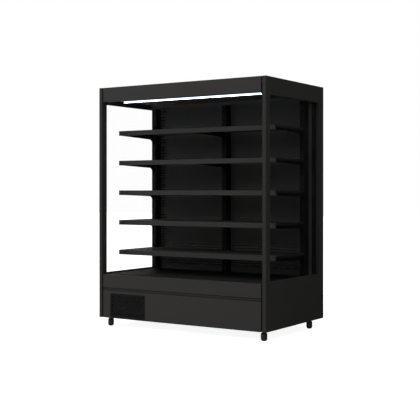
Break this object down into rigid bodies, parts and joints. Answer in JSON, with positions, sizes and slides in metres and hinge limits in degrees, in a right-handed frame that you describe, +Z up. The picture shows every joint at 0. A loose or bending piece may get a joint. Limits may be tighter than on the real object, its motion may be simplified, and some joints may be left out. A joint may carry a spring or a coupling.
{
  "type": "open multideck display fridge",
  "caption": "Matte-black open multideck display fridge with hook-on shelves, glazed end panels, a lit canopy and its cooling machinery in the base.",
  "frame": {"origin": "on the floor in the middle of the footprint", "axes": "+X to the right seen from the front, +Y to the back, +Z up; the open front faces -Y"},
  "size_m": [1.6, 0.97, 1.99],
  "materials": {
    "panel_paint": "matte",
    "end_panel_paint": "matte",
    "trim_paint": "satin",
    "liner_paint": "matte",
    "duct_paint": "matte",
    "upright_paint": "matte",
    "shelf_paint": "matte",
    "bracket_paint": "matte",
    "deck_paint": "matte",
    "base_paint": "matte",
    "vent_paint": "matte",
    "toughened_glass": "clear",
    "black_rubber": "matte",
    "black_nylon": "matte",
    "foot_nylon": "matte",
    "tub_plastic": "matte",
    "honeycomb_plastic": "matte",
    "light_channel": "satin",
    "light_lens": "translucent, lit",
    "galvanised_steel": "spangled",
    "zinc_steel": "satin",
    "machine_black": "matte",
    "fin_aluminium": "satin",
    "motor_paint": "satin",
    "fan_blades": "satin",
    "compressor_paint": "gloss",
    "copper_pipe": "satin",
    "pan_plastic": "matte"
  },
  "bodies": {
    "cabinet": {"apron": "panel_paint", "back_wall": "liner_paint", "base_frame": "base_paint", "cable_gland": "black_nylon", "canopy_liner": "liner_paint", "compressor": "compressor_paint", "compressor_mounts": "black_rubber", "condenser_coil": "fin_aluminium", "condenser_fan_motor": "motor_paint", "deck_supports": "galvanised_steel", "drain_spigot": "pan_plastic", "drip_pan": "pan_plastic", "duct_panel_left": "duct_paint", "duct_panel_right": "duct_paint", "electrical_box": "pan_plastic", "end_frame_left": "end_panel_paint", "end_frame_right": "end_panel_paint", "end_glass_left": "toughened_glass", "end_glass_right": "toughened_glass", "evaporator_coil": "fin_aluminium", "evaporator_fan_motors": "motor_paint", "fan_plate": "galvanised_steel", "fan_shroud": "machine_black", "fascia": "panel_paint", "glass_seals": "black_rubber", "honeycomb": "honeycomb_plastic", "light_diffuser": "light_lens", "light_housing": "light_channel", "pipework": "copper_pipe", "rear_grille": "base_paint", "roof_panel": "liner_paint", "screws": "zinc_steel", "trim_rail": "trim_paint", "tub": "tub_plastic", "upright_center": "upright_paint", "upright_left": "upright_paint", "upright_right": "upright_paint"},
    "kick_panel": {"kick_panel": "panel_paint", "vent_grille": "vent_paint"},
    "return_grille": {"return_grille": "deck_paint"},
    "deck_tray_left": {"deck_tray_left": "deck_paint"},
    "deck_tray_right": {"deck_tray_right": "deck_paint"},
    "condenser_fan": {"condenser_fan": "fan_blades"},
    "shelf_1": {"shelf_1": "shelf_paint", "shelf_brackets_1": "bracket_paint"},
    "shelf_2": {"shelf_2": "shelf_paint", "shelf_brackets_2": "bracket_paint"},
    "shelf_3": {"shelf_3": "shelf_paint", "shelf_brackets_3": "bracket_paint"},
    "shelf_4": {"shelf_4": "shelf_paint", "shelf_brackets_4": "bracket_paint"},
    "shelf_5": {"shelf_5": "shelf_paint", "shelf_brackets_5": "bracket_paint"},
    "evaporator_fan_1": {"evaporator_fan_1": "fan_blades"},
    "evaporator_fan_2": {"evaporator_fan_2": "fan_blades"},
    "evaporator_fan_3": {"evaporator_fan_3": "fan_blades"},
    "foot_front_left": {"foot_front_left": "foot_nylon"},
    "foot_front_right": {"foot_front_right": "foot_nylon"},
    "foot_rear_left": {"foot_rear_left": "foot_nylon"},
    "foot_rear_right": {"foot_rear_right": "foot_nylon"}
  },
  "joints": [
    {"name": "shelf_1_lift", "type": "slide", "parent": "cabinet", "child": "shelf_1", "axis": [0, 0, 1], "range_m": [0, 0.012]},
    {"name": "shelf_2_lift", "type": "slide", "parent": "cabinet", "child": "shelf_2", "axis": [0, 0, 1], "range_m": [0, 0.012]},
    {"name": "shelf_3_lift", "type": "slide", "parent": "cabinet", "child": "shelf_3", "axis": [0, 0, 1], "range_m": [0, 0.012]},
    {"name": "shelf_4_lift", "type": "slide", "parent": "cabinet", "child": "shelf_4", "axis": [0, 0, 1], "range_m": [0, 0.012]},
    {"name": "shelf_5_lift", "type": "slide", "parent": "cabinet", "child": "shelf_5", "axis": [0, 0, 1], "range_m": [0, 0.012]},
    {"name": "deck_tray_left_lift", "type": "slide", "parent": "cabinet", "child": "deck_tray_left", "axis": [0, 0, 1], "range_m": [0, 0.08]},
    {"name": "deck_tray_right_lift", "type": "slide", "parent": "cabinet", "child": "deck_tray_right", "axis": [0, 0, 1], "range_m": [0, 0.08]},
    {"name": "return_grille_lift", "type": "slide", "parent": "cabinet", "child": "return_grille", "axis": [0, 0, 1], "range_m": [0, 0.08]},
    {"name": "kick_panel_pull", "type": "slide", "parent": "cabinet", "child": "kick_panel", "axis": [0, -1, 0], "range_m": [0, 0.06]},
    {"name": "condenser_fan_spin", "type": "hinge", "parent": "cabinet", "child": "condenser_fan", "pos_m": [-0.5015, -0.3435, 0.184], "axis": [0, 1, 0], "continuous": true},
    {"name": "evaporator_fan_1_spin", "type": "hinge", "parent": "cabinet", "child": "evaporator_fan_1", "pos_m": [-0.42, 0.3516, 0.412], "axis": [0, 0, 1], "continuous": true},
    {"name": "evaporator_fan_2_spin", "type": "hinge", "parent": "cabinet", "child": "evaporator_fan_2", "pos_m": [0, 0.3516, 0.412], "axis": [0, 0, 1], "continuous": true},
    {"name": "evaporator_fan_3_spin", "type": "hinge", "parent": "cabinet", "child": "evaporator_fan_3", "pos_m": [0.42, 0.3516, 0.412], "axis": [0, 0, 1], "continuous": true},
    {"name": "foot_front_left_height", "type": "slide", "parent": "cabinet", "child": "foot_front_left", "axis": [0, 0, -1], "range_m": [-0.008, 0.015]},
    {"name": "foot_front_right_height", "type": "slide", "parent": "cabinet", "child": "foot_front_right", "axis": [0, 0, -1], "range_m": [-0.008, 0.015]},
    {"name": "foot_rear_left_height", "type": "slide", "parent": "cabinet", "child": "foot_rear_left", "axis": [0, 0, -1], "range_m": [-0.008, 0.015]},
    {"name": "foot_rear_right_height", "type": "slide", "parent": "cabinet", "child": "foot_rear_right", "axis": [0, 0, -1], "range_m": [-0.008, 0.015]}
  ]
}
